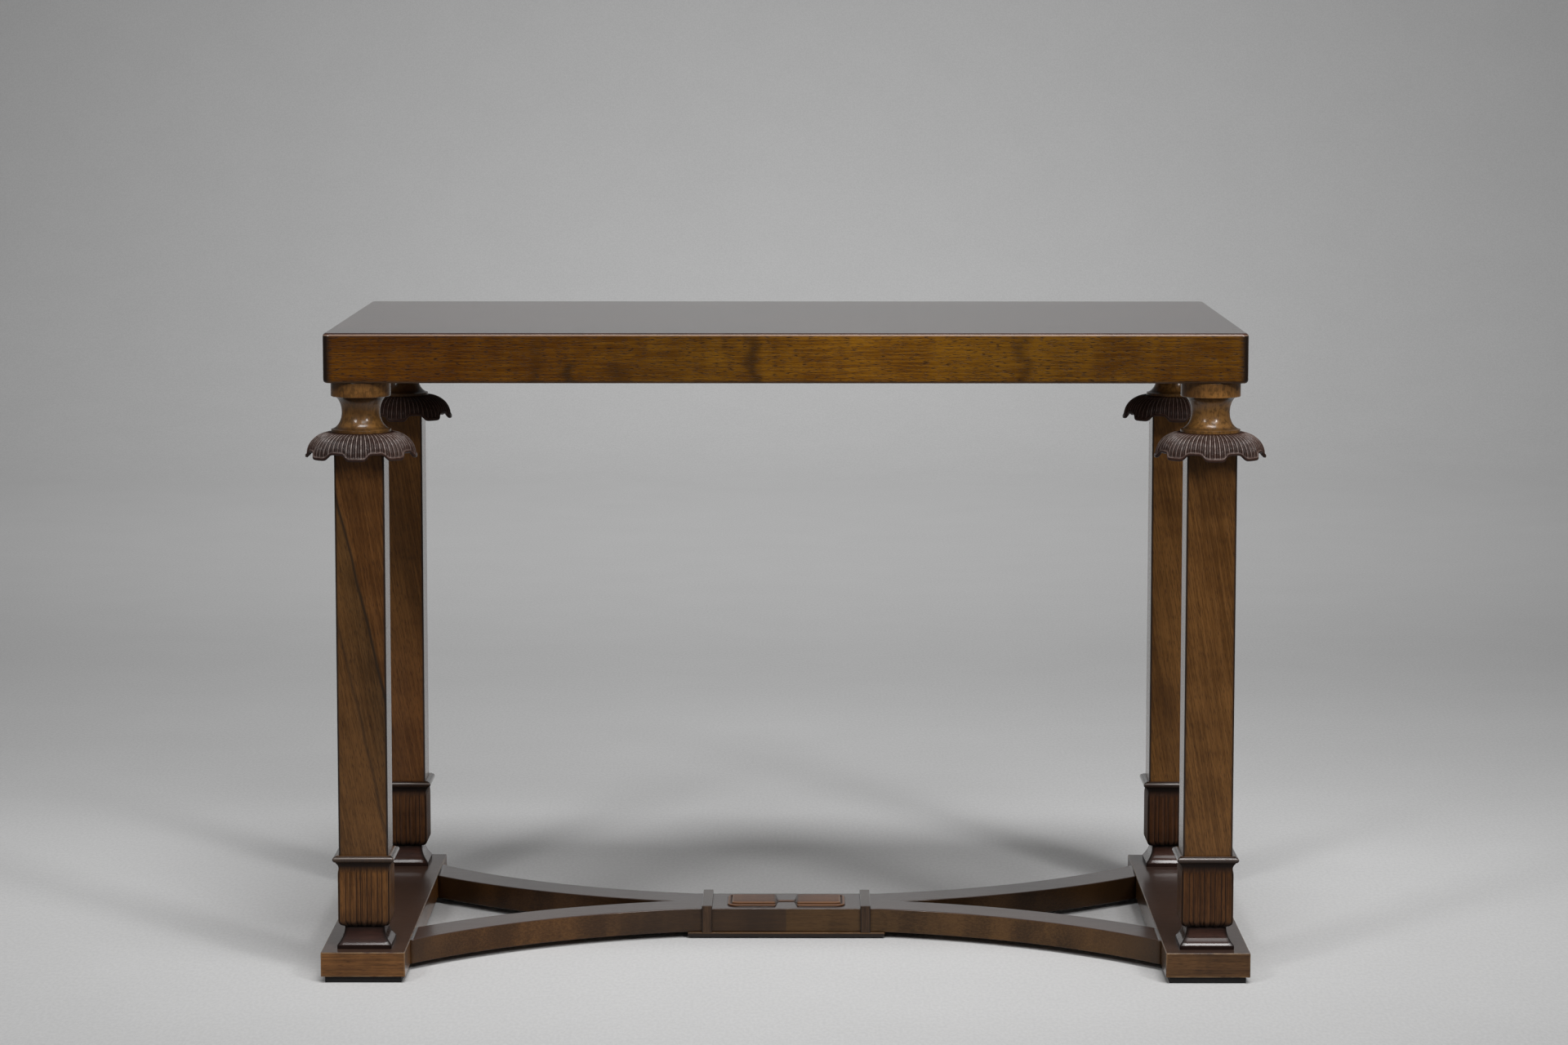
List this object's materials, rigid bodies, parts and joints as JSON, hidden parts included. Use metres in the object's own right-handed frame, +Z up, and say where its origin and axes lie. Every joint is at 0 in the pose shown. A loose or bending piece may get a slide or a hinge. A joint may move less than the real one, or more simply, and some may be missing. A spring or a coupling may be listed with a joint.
{
  "type": "sofa table",
  "caption": "Sofa table with a thick rounded top on square legs with turned capitals, flower collars and reeded feet, joined by runners and a bowed stretcher.",
  "frame": {"origin": "on the floor under the middle of the top", "axes": "+Z up, +X along the length of the top, -Y towards the front in the picture"},
  "size_m": [0.9626, 0.5416, 0.655],
  "materials": {
    "top_face": "dark red-brown polish",
    "lipping": "golden-brown polish, fine dark pores",
    "core": "unpolished, glued boards",
    "underside": "thin brown stain",
    "leg": "brown polish",
    "capital": "orange-brown polish",
    "carving": "dark glazed polish",
    "reeding": "red-brown polish, dark in the valleys",
    "plinth": "dark brown polish",
    "rail": "brown polish, worn light on the edges",
    "strap": "brown polish",
    "sole": "ebonised, dull",
    "ornament": "copper-brown polish",
    "screw": "plain steel"
  },
  "bodies": {
    "root": {"top_core": "core", "top_veneer": "top_face", "underside_veneer": "underside", "front_lipping": "lipping", "back_lipping": "lipping", "left_lipping": "lipping", "right_lipping": "lipping", "front_left_leg": "leg", "front_right_leg": "leg", "back_left_leg": "leg", "back_right_leg": "leg", "front_left_capital": "capital", "front_right_capital": "capital", "back_left_capital": "capital", "back_right_capital": "capital", "front_left_flower_collar": "carving", "front_right_flower_collar": "carving", "back_left_flower_collar": "carving", "back_right_flower_collar": "carving", "front_left_reeded_block": "reeding", "front_right_reeded_block": "reeding", "back_left_reeded_block": "reeding", "back_right_reeded_block": "reeding", "front_left_flared_plinth": "plinth", "front_right_flared_plinth": "plinth", "back_left_flared_plinth": "plinth", "back_right_flared_plinth": "plinth", "front_left_arm": "rail", "front_right_arm": "rail", "back_left_arm": "rail", "back_right_arm": "rail", "left_runner": "rail", "right_runner": "rail", "left_runner_sole": "sole", "right_runner_sole": "sole", "left_strap": "strap", "right_strap": "strap", "tie_plate": "strap", "centre_ornament": "ornament", "leg_screws": "screw", "tie_plate_screws": "screw"}
  },
  "joints": []
}
